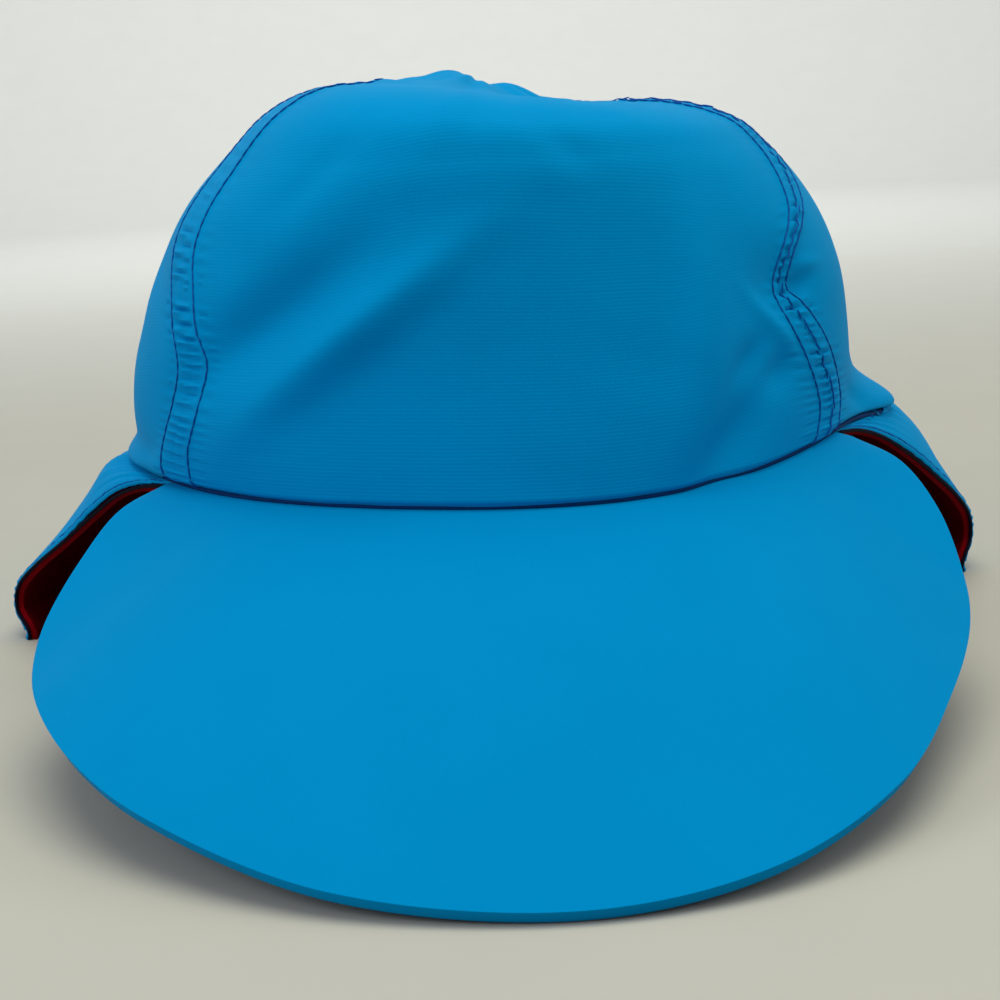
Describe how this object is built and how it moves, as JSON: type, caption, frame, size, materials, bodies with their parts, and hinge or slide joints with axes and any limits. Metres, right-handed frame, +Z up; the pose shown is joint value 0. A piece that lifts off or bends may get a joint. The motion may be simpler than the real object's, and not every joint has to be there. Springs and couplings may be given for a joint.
{
  "type": "long-peaked sun cap with neck and ear flap",
  "caption": "Soft cloth sun cap: panelled crown, long curved peak at the front, and a lined flap that falls round the neck and ears and stands on a flat hem.",
  "frame": {"origin": "middle of the bounding box's floor, on the plane that the flap's hem stands on", "axes": "+Z up through the crown, the peak points to -Y; left (-X) and right (+X) in the names are as seen from the front"},
  "size_m": [0.2666, 0.3264, 0.1432],
  "materials": {
    "crown_cloth": "bright blue woven nylon with fine cross ribs, soft matt",
    "peak_cloth": "bright blue woven nylon drawn smooth over a foam board, soft matt",
    "flap_cloth": "bright blue woven nylon, soft matt",
    "lining_cloth": "dark maroon brushed fleece"
  },
  "bodies": {
    "root": {"crown_front_panel": "crown_cloth", "crown_side_panel_left": "crown_cloth", "crown_side_panel_right": "crown_cloth", "crown_back_panel_left": "crown_cloth", "crown_back_panel_right": "crown_cloth", "peak": "peak_cloth", "neck_flap": "flap_cloth", "neck_flap_lining": "lining_cloth"}
  },
  "joints": []
}
